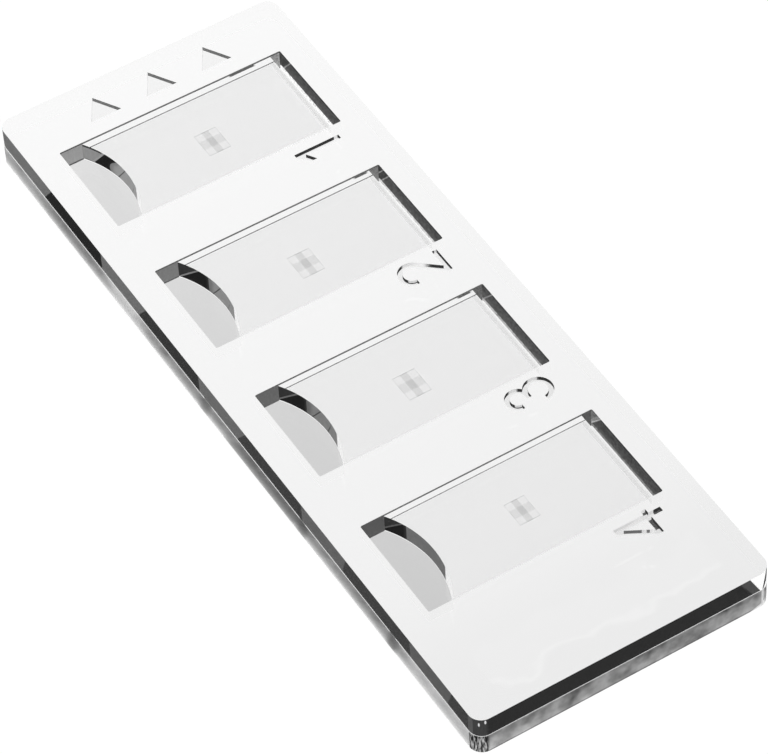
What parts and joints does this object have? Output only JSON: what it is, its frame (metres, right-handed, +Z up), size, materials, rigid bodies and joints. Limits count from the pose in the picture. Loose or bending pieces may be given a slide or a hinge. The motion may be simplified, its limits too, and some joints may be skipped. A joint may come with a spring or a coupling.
{
  "type": "cell counting slide",
  "caption": "Clear moulded counting slide: bonded floor and roof plates form thin chambers, each with a half-moon inlet, a vent slot and a ruled grid.",
  "frame": {"origin": "middle of the underside", "axes": "+X along the slide toward the arrow end, +Y toward the side with the half-moon inlets, +Z up out of the windows"},
  "size_m": [0.075, 0.027, 0.004],
  "materials": {
    "lower_plate": "polished clear",
    "upper_plate": "polished clear"
  },
  "bodies": {
    "root": {"lower_plate": "lower_plate", "upper_plate": "upper_plate"}
  },
  "joints": []
}
